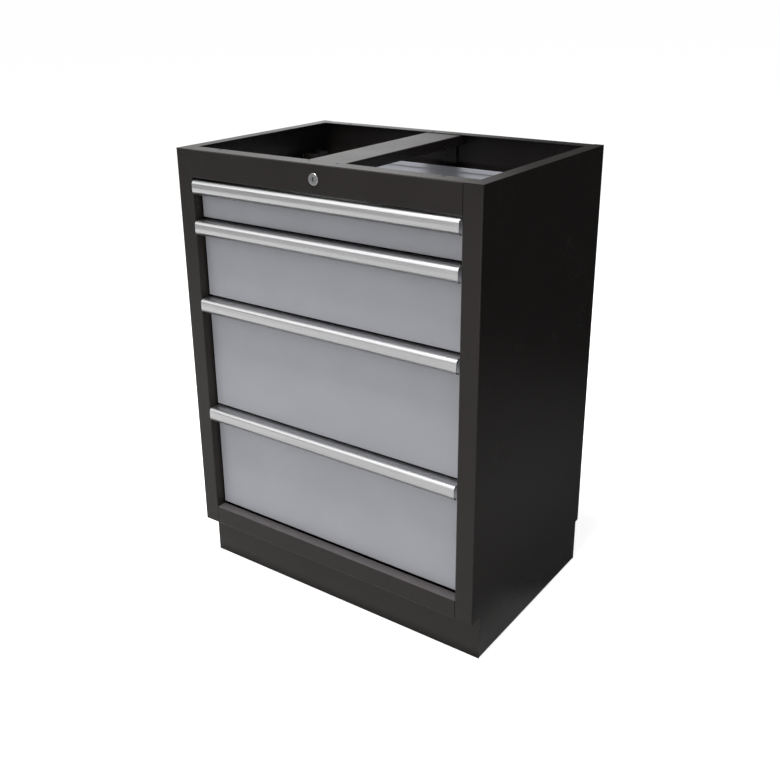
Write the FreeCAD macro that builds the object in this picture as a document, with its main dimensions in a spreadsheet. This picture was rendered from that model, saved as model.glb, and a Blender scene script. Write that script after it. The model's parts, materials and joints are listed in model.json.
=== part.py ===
"""Drawer base cabinet: folded-steel carcass on a plinth, four drawers on ball-bearing slides, central lock.

Millimetres, +Z up. The origin is at the floor, under the middle of the cabinet's box. The front faces -Y
and +X is the viewer's right.
"""
import FreeCAD
import Part
import math
import os
import Sketcher
from FreeCAD import Vector

# Driving sizes, in millimetres (angles in degrees)
SIZES = {
    # carcass
    "cabinet_width": 680.0,
    "cabinet_depth": 458.0,
    "cabinet_height": 910.0,
    "carcass_sheet": 1.2,
    "bend_radius": 0.8,
    "seam_gap": 0.2,
    "inner_gap": 0.3,
    "cut_overrun": 0.6,
    "stile_width": 37.5,
    "stile_return": 22.0,
    "front_rim": 34.0,
    "side_rim": 25.5,
    "back_rim": 29.0,
    "back_return": 20.0,
    "bottom_flange": 20.0,
    # rails, floor and brace
    "top_rail_height": 54.0,
    "top_rail_return": 34.0,
    "rail_lip": 8.0,
    "bottom_rail_height": 39.0,
    "bottom_rail_ledge": 24.0,
    "bottom_rail_foot": 40.0,
    "floor_upturn": 15.0,
    "brace_width": 84.0,
    "brace_depth": 20.0,
    "brace_end_gap": 6.0,
    # holes and rivets in the rim
    "worktop_hole_radius": 3.25,
    "worktop_hole_spread": 500.0,
    "worktop_hole_front": 28.0,
    "worktop_hole_back": 20.0,
    "rivet_radius": 2.4,
    "rivet_head_sink": 0.9,
    "rivet_spread": 64.0,
    "rivet_bulb": 2.0,
    "rivet_bulb_rim": 1.0,
    # plinth
    "plinth_height": 95.0,
    "plinth_sheet": 2.0,
    "plinth_front_inset": 32.0,
    "plinth_side_inset": 1.2,
    "plinth_back_inset": 9.0,
    "plinth_flange": 25.0,
    # uprights that carry the slides
    "post_sheet": 1.5,
    "post_width": 40.0,
    "post_foot": 14.0,
    "post_front": 60.0,
    "post_back_gap": 40.0,
    "post_head_gap": 8.0,
    # drawers
    "drawer_gap": 4.0,
    "sill_gap": 7.0,
    "face_gap": 3.5,
    "face_recess": 20.0,
    "top_drawer_height": 76.0,
    "second_drawer_height": 156.0,
    "third_drawer_height": 236.0,
    "front_sheet": 1.0,
    "front_depth": 18.0,
    "front_round": 1.2,
    "front_flange": 20.0,
    "box_sheet": 1.0,
    "box_back_gap": 22.6,
    "box_bottom_gap": 8.0,
    "box_top_gap": 9.0,
    "box_round": 2.0,
    "hem_height": 8.0,
    "hem_sheet": 1.2,
    # aluminium grip on each drawer
    "handle_proud": 5.0,
    "handle_drop": 28.5,
    "handle_sheet": 1.8,
    "handle_curve": 8.0,
    "handle_curl": 8.0,
    "handle_side_gap": 3.0,
    "handle_back_gap": 1.0,
    # ball-bearing slides
    "slide_inset": 1.0,
    "slide_width": 12.7,
    "slide_height": 45.0,
    "slide_sheet": 1.2,
    "slide_bend": 0.7,
    "slide_lip": 2.2,
    "slide_front_gap": 4.0,
    "slide_back_gap": 13.6,
    "slide_raise": 30.0,
    "outer_flange": 10.5,
    "web_gap": 1.4,
    "middle_flange": 6.8,
    "inner_flange": 7.3,
    "inner_end_gap": 6.0,
    "outer_ball": 3.9,
    "inner_ball": 3.0,
    "ball_gap": 0.1,
    "cage_sheet": 0.8,
    "cage_gap": 0.3,
    "cage_length": 180.0,
    "cage_end_gap": 8.0,
    # lock
    "lock_drop": 26.5,
    "lock_bezel_radius": 11.0,
    "lock_bezel_proud": 1.6,
    "lock_bezel_chamfer": 0.7,
    "lock_barrel_radius": 9.5,
    "lock_barrel_depth": 22.0,
    "lock_plug_radius": 6.0,
    "running_gap": 0.05,
    "keyway_width": 2.2,
    "keyway_height": 7.5,
    "keyway_depth": 6.0,
    "lock_nut_width": 24.0,
    "lock_nut_depth": 4.0,
    "rod_radius": 4.0,
    "crank_sheet": 3.0,
    "crank_throw": 10.0,
    "crank_rest_angle": 225.0,
    "crank_eye": 5.5,
    "crank_round": 5.0,
    "crank_gap": 3.0,
    "pin_radius": 2.5,
    "pin_proud": 1.0,
    "slot_gap": 0.5,
    "rod_support_sheet": 1.5,
    "rod_support_width": 30.0,
    "rod_support_place": 40.0,
    # lock bar, hooks and lugs
    "bar_width": 34.0,
    "bar_sheet": 2.0,
    "bar_back_gap": 3.0,
    "bar_head": 16.0,
    "bar_tail": 34.0,
    "hook_sheet": 2.0,
    "hook_width": 16.0,
    "hook_lip": 16.0,
    "hook_reach": 17.0,
    "hook_clearance": 2.0,
    "lug_drop": 12.0,
    "lug_lip": 14.0,
    "lug_width": 30.0,
    "lug_tab": 10.0,
    "guide_gap": 0.6,
    "guide_height": 16.0,
    "guide_foot": 9.0,
    # screws
    "screw_head_width": 7.0,
    "screw_head_height": 1.0,
}


class Length:
    """A size that knows its value and the expression that ties it to the sheet."""

    def __init__(self, value, text):
        self.value = float(value)
        self.text = text

    @staticmethod
    def of(other):
        if isinstance(other, Length):
            return other
        return Length(other, repr(float(other)))

    def _with(self, sign, other, value):
        return Length(value, "(%s %s %s)" % (self.text, sign, other.text))

    def __add__(self, other):
        other = Length.of(other)
        return self._with("+", other, self.value + other.value)

    def __sub__(self, other):
        other = Length.of(other)
        return self._with("-", other, self.value - other.value)

    def __mul__(self, other):
        other = Length.of(other)
        return self._with("*", other, self.value * other.value)

    def __truediv__(self, other):
        other = Length.of(other)
        return self._with("/", other, self.value / other.value)

    def __radd__(self, other):
        return Length.of(other) + self

    def __rsub__(self, other):
        return Length.of(other) - self

    def __rmul__(self, other):
        return Length.of(other) * self

    def __neg__(self):
        return Length(-self.value, "(-1 * %s)" % self.text)


class Sheet:
    """The spreadsheet of driving sizes, read by name."""

    def __init__(self, document, sizes):
        cells = document.addObject("Spreadsheet::Sheet", "Sizes")
        for row, (name, value) in enumerate(sizes.items(), start=1):
            cells.set("A%d" % row, name)
            cells.set("B%d" % row, str(value))
            cells.setAlias("B%d" % row, name)
            setattr(self, name, Length(value, "Sizes." + name))


doc = FreeCAD.newDocument("drawer_base_cabinet")
size = Sheet(doc, SIZES)
doc.recompute()

nodes = []
LEFT = -1
RIGHT = 1
SIDES = (("left", LEFT), ("right", RIGHT))


# Sketching helpers

def body(name):
    """A new body; a body that is a node of its own is registered with keep()."""
    made = doc.addObject("PartDesign::Body", name)
    made.Label = name
    return made


def keep(*objects):
    """Registers finished sub-parts, one node and one file each."""
    nodes.extend(objects)


def group(name, members):
    """One node that holds several separate solids."""
    made = doc.addObject("Part::Compound", name)
    made.Label = name
    made.Links = members
    keep(made)
    return made


def bind(thing, prop, length):
    """Ties a property of an object to the sheet."""
    thing.setExpression(prop, Length.of(length).text)


def place(thing, x=None, y=None, z=None):
    """Ties the placement of a sub-part to the sheet."""
    for axis, length in (("x", x), ("y", y), ("z", z)):
        if length is not None:
            bind(thing, "Placement.Base.%s" % axis, length)


def rounded_corner(before, corner, after, radius):
    """Where an arc of this radius leaves the two straight edges of a corner, and its centre."""
    back = (before - corner).normalize()
    ahead = (after - corner).normalize()
    half = back.getAngle(ahead) / 2
    run = radius / math.tan(half)
    centre = corner + (back + ahead).normalize() * (radius / math.sin(half))
    return corner + back * run, corner + ahead * run, centre


def outline(sketch, corners):
    """Draws a closed outline of (across, up, radius or None) corners, every size tied to the sheet."""
    count = len(corners)
    corners = [(Length.of(a), Length.of(b), None if r is None else Length.of(r)) for a, b, r in corners]
    points = [Vector(a.value, b.value, 0) for a, b, r in corners]
    runs = []
    for i, (a, b, radius) in enumerate(corners):
        if radius is None:
            runs.append((points[i], points[i], None))
        else:
            runs.append(rounded_corner(points[i - 1], points[i], points[(i + 1) % count], radius.value))

    first = sketch.GeometryCount
    shapes = [Part.LineSegment(runs[i][1], runs[(i + 1) % count][0]) for i in range(count)]
    arcs = {}
    for i, (start, end, centre) in enumerate(runs):
        if centre is None:
            continue
        turn = (points[i] - points[i - 1]).cross(points[(i + 1) % count] - points[i]).z
        angles = [math.atan2(p.y - centre.y, p.x - centre.x) for p in (start, end)]
        if turn < 0:
            angles.reverse()
        arcs[i] = (first + len(shapes), turn > 0)
        circle = Part.Circle(centre, Vector(0, 0, 1), corners[i][2].value)
        shapes.append(Part.ArcOfCircle(circle, angles[0], angles[1]))
    sketch.addGeometry(shapes, False)
    marks = {i: first + len(shapes) + n for n, i in enumerate(arcs)}
    if marks:
        sketch.addGeometry([Part.Point(points[i]) for i in marks], True)

    rules = []
    tied = []

    def tie(kind, *where):
        rules.append(Sketcher.Constraint(kind, *where[:-1], where[-1].value))
        tied.append((len(rules) - 1, where[-1]))

    for i, (a, b, radius) in enumerate(corners):
        before = first + (i - 1) % count
        after = first + i
        if i in arcs:
            arc, leftward = arcs[i]
            start, end = (1, 2) if leftward else (2, 1)
            rules.append(Sketcher.Constraint("Tangent", before, 2, arc, start))
            rules.append(Sketcher.Constraint("Tangent", arc, end, after, 1))
            rules.append(Sketcher.Constraint("PointOnObject", marks[i], 1, before))
            rules.append(Sketcher.Constraint("PointOnObject", marks[i], 1, after))
            tie("Radius", arc, radius)
            anchor = marks[i]
        else:
            rules.append(Sketcher.Constraint("Coincident", before, 2, after, 1))
            anchor = after
        tie("DistanceX", anchor, 1, a)
        tie("DistanceY", anchor, 1, b)
    _add_rules(sketch, rules, tied)


def circle(sketch, across, up, radius):
    """Draws a circle whose centre and radius are tied to the sheet."""
    across, up, radius = Length.of(across), Length.of(up), Length.of(radius)
    ring = Part.Circle(Vector(across.value, up.value, 0), Vector(0, 0, 1), radius.value)
    made = sketch.addGeometry(ring, False)
    rules = [
        Sketcher.Constraint("DistanceX", made, 3, across.value),
        Sketcher.Constraint("DistanceY", made, 3, up.value),
        Sketcher.Constraint("Radius", made, radius.value),
    ]
    _add_rules(sketch, rules, list(enumerate((across, up, radius))))


def _add_rules(sketch, rules, tied):
    start = sketch.ConstraintCount
    sketch.addConstraint(rules)
    for index, length in tied:
        sketch.setExpression("Constraints[%d]" % (start + index), length.text)


def rectangle(low_x, low_y, high_x, high_y, radius=None):
    """Corners of an upright rectangle."""
    corners = [(low_x, low_y), (high_x, low_y), (high_x, high_y), (low_x, high_y)]
    return [(across, up, radius) for across, up in corners]


# How much further than the inside a flat facet cuts the outside of a fold, in sheet thicknesses
FACET_RUN = 2 - math.sqrt(2)


def hexagon(across, up, width):
    """Corners of a hexagon with this width across its flats."""
    reach = width / 2 / math.cos(math.pi / 6)
    corners = []
    for step in range(6):
        angle = math.pi / 3 * step
        corners.append((across + reach * math.cos(angle), up + reach * math.sin(angle), None))
    return corners


def folded(path, sheet, bend, side=1, flat=False):
    """Outline of a sheet folded at right angles along a path, thickness to the left (1) or right (-1).

    The folds are arcs, or one flat facet each where they lie out of sight.
    """
    places = [(Length.of(a), Length.of(b)) for a, b in path]
    steps = []
    for (a, b), (c, d) in zip(places, places[1:]):
        across, up = c.value - a.value, d.value - b.value
        if abs(across) > abs(up):
            steps.append((math.copysign(1, across), 0))
        else:
            steps.append((0, math.copysign(1, up)))
    near, far = [], []
    last = len(places) - 1
    for i, (a, b) in enumerate(places):
        touching = [steps[j] for j in (i - 1, i) if 0 <= j < len(steps)]
        shift_a = sum(-up for across, up in touching) * side
        shift_b = sum(across for across, up in touching) * side
        shifted = (a + shift_a * sheet if shift_a else a, b + shift_b * sheet if shift_b else b)
        if i in (0, last):
            near.append((a, b, None))
            far.append((*shifted, None))
            continue
        turn = (touching[0][0] * touching[1][1] - touching[0][1] * touching[1][0]) * side
        outside = bend + (sheet * FACET_RUN if flat else sheet)
        near_size, far_size = (outside, bend) if turn > 0 else (bend, outside)
        if flat:
            near += facet((a, b), touching, near_size)
            far += facet(shifted, touching, far_size)
        else:
            near.append((a, b, near_size))
            far.append((*shifted, far_size))
    return near + far[::-1]


def facet(corner, steps, leg):
    """The two corners that cut one corner off, each as far along its own edge."""
    cut = []
    for (across, up), sign in zip(steps, (-1, 1)):
        a, b = corner
        cut.append((a + sign * across * leg if across else a, b + sign * up * leg if up else b, None))
    return cut


PLANES = {"XY": "XY_Plane", "XZ": "XZ_Plane", "YZ": "YZ_Plane"}


def sketch_on(part, plane, start=None):
    """A sketch on one of the body's own planes, shifted to start along +X, +Y or +Z."""
    sketch = part.newObject("Sketcher::SketchObject", part.Name + "_sketch")
    support = [feature for feature in part.Origin.OriginFeatures if feature.Role == PLANES[plane]][0]
    sketch.AttachmentSupport = (support, "")
    sketch.MapMode = "FlatFace"
    if start is not None:
        # the XZ plane looks along -Y, so a shift along +Y is negative there
        bind(sketch, "AttachmentOffset.Base.z", -Length.of(start) if plane == "XZ" else start)
    return sketch


def prism(part, plane, loops, length, start=None, centred=False, circles=(), cut=False):
    """Pads, or cuts, outlines along +X, +Y or +Z from start, or both ways from the plane."""
    sketch = sketch_on(part, plane, start)
    for corners in loops:
        outline(sketch, corners)
    for across, up, radius in circles:
        circle(sketch, across, up, radius)
    kind = "PartDesign::Pocket" if cut else "PartDesign::Pad"
    made = part.newObject(kind, part.Name + ("_cut" if cut else "_pad"))
    made.Profile = sketch
    bind(made, "Length", length)
    if centred:
        made.SideType = "Symmetric"
    else:
        # a pad follows the sketch's normal and a pocket goes against it
        made.Reversed = (plane == "XZ") != cut
    return made


def drill(part, plane, near, thickness, circles):
    """Cuts round holes through a sheet that starts at near, with some overrun on both faces."""
    prism(part, plane, [], thickness + 2 * size.cut_overrun, start=near - size.cut_overrun,
          circles=circles, cut=True)


def round_edges(part, feature, radius, wanted):
    """Fillets the edges of a feature whose middle point passes the test."""
    doc.recompute()
    names = []
    for number, edge in enumerate(feature.Shape.Edges, start=1):
        middle = edge.valueAt((edge.FirstParameter + edge.LastParameter) / 2)
        if wanted(edge, middle):
            names.append("Edge%d" % number)
    made = part.newObject("PartDesign::Fillet", part.Name + "_round")
    made.Base = (feature, names)
    bind(made, "Radius", radius)
    return made


def turned(part, corners, up_axis=False):
    """Revolves a (distance along Y, radius) outline round the body's Y axis."""
    sketch = sketch_on(part, "YZ")
    outline(sketch, corners)
    made = part.newObject("PartDesign::Revolution", part.Name + "_turned")
    made.Profile = sketch
    made.ReferenceAxis = (sketch, ["V_Axis" if up_axis else "H_Axis"])
    made.Angle = 360
    return made


# Planes of the carcass that other pieces are set to
half_width = size.cabinet_width / 2
front = size.handle_proud / 2 - size.cabinet_depth / 2
back = front + size.cabinet_depth
top = size.cabinet_height
base = size.plinth_height
sheet = size.carcass_sheet
bend = size.bend_radius
rail_half = half_width - size.stile_width - size.seam_gap
opening_top = top - size.top_rail_height
opening_bottom = base + size.bottom_rail_height
face = front + size.face_recess
back_inner = back - 2 * sheet
floor_top = base + 2 * sheet
rim_under = top - sheet


# Side panels: one sheet folded round the front into a stile and its return, and round the back

def side_panel(name, side):
    part = body(name)
    inner_stile = half_width - size.stile_width
    path = [
        (side * inner_stile, front + size.stile_return),
        (side * inner_stile, front),
        (side * half_width, front),
        (side * half_width, back),
        (side * (half_width - size.back_return), back),
    ]
    prism(part, "XY", [folded(path, sheet, bend, side)], top - base, start=base)
    # rim flange along the top, wider over the stile
    rim_back = back - size.back_rim - size.seam_gap
    inner_rim = half_width - size.side_rim
    rim = [
        (side * half_width, front, None),
        (side * half_width, rim_back, None),
        (side * inner_rim, rim_back, None),
        (side * inner_rim, front + size.front_rim, None),
        (side * inner_stile, front + size.front_rim, None),
        (side * inner_stile, front, None),
    ]
    prism(part, "XY", [rim], sheet, start=rim_under)
    # flange along the bottom that the floor panel lies on
    inner_foot = half_width - size.bottom_flange
    foot = rectangle(side * inner_foot, front + sheet, side * half_width, back_inner - size.inner_gap)
    prism(part, "XY", [foot], sheet, start=base)
    keep(part)
    return part


for word, side in SIDES:
    side_panel("side_panel_" + word, side)


# Rows of holes in the rim: two for the worktop's screws, two for the rivets of the brace

front_row = front + size.worktop_hole_front
rear_row = back - size.worktop_hole_back


def pair_of_holes(spread, row, radius):
    return [(side * (spread / 2), row, radius) for side in (LEFT, RIGHT)]


def rivet_holes(row):
    return pair_of_holes(size.rivet_spread, row, size.rivet_radius)


def rim_holes(row):
    return pair_of_holes(size.worktop_hole_spread, row, size.worktop_hole_radius) + rivet_holes(row)


# Back panel, with the rear rim flange

def back_panel():
    part = body("back_panel")
    path = [
        (back - size.back_rim, top),
        (back - sheet, top),
        (back - sheet, base),
    ]
    width = 2 * (half_width - sheet - bend)
    prism(part, "YZ", [folded(path, sheet, bend, -1)], width, centred=True)
    drill(part, "XY", rim_under, sheet, rim_holes(rear_row))
    keep(part)


back_panel()


# Top rail: face, rim flange, lower return with its lip, hole for the lock

lock_height = top - size.lock_drop


def top_rail():
    part = body("top_rail")
    path = [
        (front + size.front_rim, top),
        (front, top),
        (front, opening_top),
        (front + size.top_rail_return, opening_top),
        (front + size.top_rail_return, opening_top + size.rail_lip),
    ]
    prism(part, "YZ", [folded(path, sheet, bend, 1)], 2 * rail_half, centred=True)
    drill(part, "XZ", front, sheet, [(0, lock_height, size.lock_barrel_radius)])
    drill(part, "XY", rim_under, sheet, rim_holes(front_row))
    keep(part)


top_rail()


# Bottom rail: ledge under the lowest drawer, face and foot

def bottom_rail():
    part = body("bottom_rail")
    path = [
        (front + size.bottom_rail_ledge, opening_bottom - size.rail_lip),
        (front + size.bottom_rail_ledge, opening_bottom),
        (front, opening_bottom),
        (front, base),
        (front + size.bottom_rail_foot, base),
    ]
    prism(part, "YZ", [folded(path, sheet, bend, 1)], 2 * rail_half, centred=True)
    keep(part)


bottom_rail()


# Floor panel, on the side flanges and the rail's foot

def floor_panel():
    part = body("floor_panel")
    low = base + sheet
    path = [
        (front + size.stile_return + size.inner_gap, low + size.floor_upturn),
        (front + size.stile_return + size.inner_gap, low),
        (back_inner - size.inner_gap, low),
        (back_inner - size.inner_gap, low + size.floor_upturn),
    ]
    width = 2 * (half_width - sheet - size.inner_gap)
    prism(part, "YZ", [folded(path, sheet, bend, 1, flat=True)], width, centred=True)
    keep(part)


floor_panel()


# Centre brace: a channel under the front and rear rim flanges

def centre_brace():
    part = body("centre_brace")
    half = size.brace_width / 2
    path = [
        (-half, rim_under - size.brace_depth),
        (-half, rim_under),
        (half, rim_under),
        (half, rim_under - size.brace_depth),
    ]
    length = size.cabinet_depth - 2 * sheet - 2 * size.brace_end_gap
    start = front + sheet + size.brace_end_gap
    prism(part, "XZ", [folded(path, sheet, bend, -1)], length, start=start)
    drill(part, "XY", rim_under - sheet, sheet, rivet_holes(front_row) + rivet_holes(rear_row))
    keep(part)


centre_brace()


# Countersunk rivets between the brace and the rim flanges

def brace_rivets():
    made = []
    grip = 2 * sheet
    for end, row in (("front", front_row), ("back", rear_row)):
        for word, side in SIDES:
            part = body("brace_rivet_%s_%s" % (end, word))
            # distances are radius across and height below the top of the rim
            profile = [
                (0, -grip - size.rivet_bulb, None),
                (size.rivet_radius + size.rivet_bulb_rim, -grip, None),
                (size.rivet_radius, -grip, None),
                (size.rivet_radius, -size.rivet_head_sink, None),
                (0, -size.rivet_head_sink, None),
            ]
            turned(part, profile, up_axis=True)
            place(part, side * (size.rivet_spread / 2), row, top)
            made.append(part)
    group("brace_rivets", made)


brace_rivets()


# Plinth: four folded walls, set in under the carcass

plinth_half = half_width - size.plinth_side_inset
plinth_front = front + size.plinth_front_inset
plinth_back = back - size.plinth_back_inset


def plinth_section(outer, inward):
    """A channel from the floor to the carcass whose flanges point inwards."""
    return [
        (outer + inward * size.plinth_flange, 0),
        (outer, 0),
        (outer, base),
        (outer + inward * size.plinth_flange, base),
    ]


def plinth_cross_wall(name, outer, inward):
    part = body(name)
    flange_width = 2 * (plinth_half - size.plinth_flange - size.inner_gap)
    corners = folded(plinth_section(outer, inward), size.plinth_sheet, bend, -inward, flat=True)
    prism(part, "YZ", [corners], flange_width, centred=True)
    wall = rectangle(outer, 0, outer + inward * size.plinth_sheet, base)
    prism(part, "YZ", [wall], 2 * plinth_half, centred=True)
    keep(part)


def plinth_side_wall(name, side):
    part = body(name)
    corners = folded(plinth_section(side * plinth_half, -side), size.plinth_sheet, bend, side, flat=True)
    start = plinth_front + size.plinth_sheet
    prism(part, "XZ", [corners], plinth_back - size.plinth_sheet - start, start=start)
    keep(part)


plinth_cross_wall("plinth_front", plinth_front, 1)
plinth_cross_wall("plinth_back", plinth_back, -1)
for word, side in SIDES:
    plinth_side_wall("plinth_" + word, side)


# Uprights that carry the slides: hat sections on the side panels

slide_plane = half_width - size.stile_width - size.slide_inset
post_head = opening_top - size.post_head_gap
post_places = {
    "front": front + size.post_front,
    "back": back - size.post_back_gap - size.post_width,
}


def slide_post(name, side, near):
    part = body(name)
    wall = side * (half_width - sheet)
    crown = side * (slide_plane + size.post_sheet)
    path = [
        (wall, near - size.post_foot),
        (wall, near),
        (crown, near),
        (crown, near + size.post_width),
        (wall, near + size.post_width),
        (wall, near + size.post_width + size.post_foot),
    ]
    corners = folded(path, size.post_sheet, bend, side, flat=True)
    prism(part, "XY", [corners], post_head - floor_top, start=floor_top)
    keep(part)


for end, near in post_places.items():
    for word, side in SIDES:
        slide_post("slide_post_%s_%s" % (end, word), side, near)


# Heights of the drawers, from the top one down; the lowest takes what is left of the opening
gap = size.drawer_gap
drawer_heights = [size.top_drawer_height, size.second_drawer_height, size.third_drawer_height]
drawer_tops = [opening_top - gap]
for height in drawer_heights:
    drawer_tops.append(drawer_tops[-1] - height - gap)
drawer_heights.append(drawer_tops[-1] - opening_bottom - size.sill_gap)
DRAWERS = range(1, len(drawer_heights) + 1)

bar_back = back_inner - size.bar_back_gap
bar_front = bar_back - size.bar_sheet
box_front = face + size.front_depth
box_back = bar_front - size.box_back_gap
box_half = slide_plane - size.slide_width
slide_start = box_front + size.slide_front_gap
slide_end = back_inner - size.slide_back_gap
slide_length = slide_end - slide_start


def drawer_top(number):
    return drawer_tops[number - 1]


def box_bottom(number):
    return drawer_top(number) - drawer_heights[number - 1] + size.box_bottom_gap


def box_top(number):
    return drawer_top(number) - size.box_top_gap


def slide_height(number):
    return box_bottom(number) + size.slide_raise


# Drawer fronts: shallow folded trays whose rear flanges lie on the front wall of the drawer's box

def drawer_front(number):
    part = body("drawer_front_%d" % number)
    half = half_width - size.stile_width - size.face_gap
    low = drawer_top(number) - drawer_heights[number - 1]
    high = drawer_top(number) - size.handle_sheet
    wall = size.front_sheet
    block = prism(part, "XZ", [rectangle(-half, low, half, high)], size.front_depth, start=face)
    limit = face.value + size.front_round.value / 2
    round_edges(part, block, size.front_round, lambda edge, middle: middle.y < limit)
    flange = size.front_flange
    mouth = rectangle(-half + flange, low + flange, half - flange, high - flange)
    prism(part, "XZ", [mouth], size.front_depth, start=face + wall, cut=True)
    hollow = rectangle(-half + wall, low + wall, half - wall, high - wall)
    prism(part, "XZ", [hollow], size.front_depth - 2 * wall, start=face + wall, cut=True)
    keep(part)


# Aluminium grips: one extruded section, rounded over the top and curled in at the lip

def drawer_handle(number):
    part = body("drawer_handle_%d" % number)
    high = drawer_top(number)
    wall = size.handle_sheet
    lip = face - size.face_recess - size.handle_proud
    low = high - size.handle_drop
    tail = box_front - size.handle_back_gap
    section = [
        (tail, high, None),
        (lip, high, size.handle_curve),
        (lip, low, size.handle_curl),
        (lip + size.handle_curl + wall, low, None),
        (lip + size.handle_curl + wall, low + wall, None),
        (lip + wall, low + wall, size.handle_curl - wall),
        (lip + wall, high - wall, size.handle_curve - wall),
        (tail, high - wall, None),
    ]
    half = half_width - size.stile_width - size.handle_side_gap
    prism(part, "YZ", [section], 2 * half, centred=True)
    keep(part)


# Drawer boxes: folded trays with a hem round the top

def drawer_box(number):
    part = body("drawer_box_%d" % number)
    low = box_bottom(number)
    high = box_top(number)
    wall = size.box_sheet
    hem = size.box_sheet + size.hem_sheet
    prism(part, "XY", [rectangle(-box_half, box_front, box_half, box_back, size.box_round)],
          high - low, start=low)
    throat = rectangle(-box_half + hem, box_front + hem, box_half - hem, box_back - hem)
    prism(part, "XY", [throat], high - low, start=low + wall, cut=True)
    hollow = rectangle(-box_half + wall, box_front + wall, box_half - wall, box_back - wall)
    prism(part, "XY", [hollow], high - low - wall - size.hem_height, start=low + wall, cut=True)
    keep(part)


for number in DRAWERS:
    drawer_front(number)
    drawer_handle(number)
    drawer_box(number)


# Ball-bearing slides. Across is measured from the upright towards the drawer, up from the slide's middle.

def slide_path(web, flange, half, lip):
    """Path of a C-shaped member: web, two flanges and their lips."""
    edge = web + flange
    return [(edge, half - lip), (edge, half), (web, half), (web, -half), (edge, -half), (edge, lip - half)]


def rolled(part, side, path, thickness_side, start, length, height):
    """Extrudes a member's section along Y on one side of the cabinet."""
    turned_path = [(side * (slide_plane - across), height + up) for across, up in path]
    section = folded(turned_path, size.slide_sheet, size.slide_bend, thickness_side * side, flat=True)
    prism(part, "XZ", [section], length, start=start)


outer_half = size.slide_height / 2
outer_race = outer_half - size.slide_sheet
middle_half = outer_race - size.outer_ball - 2 * size.ball_gap
middle_web = size.slide_sheet + size.web_gap
middle_race = middle_half - size.slide_sheet
inner_half = middle_race - size.inner_ball - 2 * size.ball_gap


def outer_slides(number):
    made = []
    for word, side in SIDES:
        part = body("outer_slide_%d_%s" % (number, word))
        path = slide_path(0, size.outer_flange, outer_half, size.slide_lip)
        rolled(part, side, path, -1, slide_start, slide_length, slide_height(number))
        made.append(part)
    group("outer_slides_%d" % number, made)


def middle_slides(number):
    made = []
    for word, side in SIDES:
        part = body("middle_slide_%d_%s" % (number, word))
        path = slide_path(middle_web, size.middle_flange, middle_half, size.slide_lip)
        rolled(part, side, path, -1, slide_start, slide_length, slide_height(number))
        made.append(part)
    group("middle_slides_%d" % number, made)


def inner_slides(number):
    made = []
    for word, side in SIDES:
        part = body("inner_slide_%d_%s" % (number, word))
        path = slide_path(size.slide_width, -size.inner_flange, inner_half, size.slide_lip)
        rolled(part, side, path, 1, slide_start, box_back - slide_start - size.inner_end_gap,
               slide_height(number))
        made.append(part)
    group("inner_slides_%d" % number, made)


def cage_strip(name, side, across, low, high, start, height):
    """One strip of a ball cage, upright between two races."""
    part = body(name)
    near = side * (slide_plane - across)
    far = side * (slide_plane - across - size.cage_sheet)
    prism(part, "XZ", [rectangle(near, height + low, far, height + high)], size.cage_length, start=start)
    return part


def ball_cages(number):
    made = []
    height = slide_height(number)
    middle_edge = middle_web + size.middle_flange
    outer_across = (middle_web + middle_edge) / 2
    inner_across = middle_edge - size.slide_sheet - size.slide_bend - size.cage_sheet
    clear = size.cage_gap
    rows = (
        ("outer", outer_across, middle_half + clear, outer_race - clear,
         slide_end - size.cage_end_gap - size.cage_length),
        ("inner", inner_across, inner_half + clear, middle_race - clear, slide_start + size.cage_end_gap),
    )
    for word, side in SIDES:
        for row, across, low, high, start in rows:
            for edge, sign in (("upper", 1), ("lower", -1)):
                name = "ball_cage_%d_%s_%s_%s" % (number, word, row, edge)
                made.append(cage_strip(name, side, across, sign * low, sign * high, start, height))
    group("ball_cages_%d" % number, made)


for number in DRAWERS:
    outer_slides(number)
    middle_slides(number)
    inner_slides(number)
    ball_cages(number)


# Screws that hold the outer members to the uprights

def slide_screws():
    made = []
    for number in DRAWERS:
        for end, near in post_places.items():
            for word, side in SIDES:
                part = body("slide_screw_%d_%s_%s" % (number, end, word))
                head = hexagon(near + size.post_width / 2, slide_height(number), size.screw_head_width)
                seat = side * (slide_plane - size.slide_sheet)
                start = seat - size.screw_head_height if side == RIGHT else seat
                prism(part, "YZ", [head], size.screw_head_height, start=start)
                made.append(part)
    group("slide_screws", made)


slide_screws()


# Lock: housing with its bezel, nut behind the rail, plug with the keyway

def lock_housing():
    part = body("lock_housing")
    bore = size.lock_plug_radius + size.running_gap
    profile = [
        (-size.lock_bezel_proud, bore, None),
        (-size.lock_bezel_proud, size.lock_bezel_radius - size.lock_bezel_chamfer, None),
        (size.lock_bezel_chamfer - size.lock_bezel_proud, size.lock_bezel_radius, None),
        (0, size.lock_bezel_radius, None),
        (0, size.lock_barrel_radius, None),
        (size.lock_barrel_depth, size.lock_barrel_radius, None),
        (size.lock_barrel_depth, bore, None),
    ]
    turned(part, profile)
    place(part, 0, front, lock_height)
    keep(part)


def lock_nut():
    part = body("lock_nut")
    flats = hexagon(0, lock_height, size.lock_nut_width)
    prism(part, "XZ", [flats], size.lock_nut_depth, start=front + sheet,
          circles=[(0, lock_height, size.lock_barrel_radius)])
    keep(part)


def lock_plug():
    part = body("lock_plug")
    prism(part, "XZ", [], size.lock_barrel_depth + size.lock_bezel_proud + size.rod_radius,
          start=-size.lock_bezel_proud, circles=[(0, 0, size.lock_plug_radius)])
    keyway = rectangle(-size.keyway_width / 2, -size.keyway_height / 2,
                       size.keyway_width / 2, size.keyway_height / 2)
    prism(part, "XZ", [keyway], size.keyway_depth, start=-size.lock_bezel_proud, cut=True)
    place(part, 0, front, lock_height)
    keep(part)


lock_housing()
lock_nut()
lock_plug()

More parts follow.
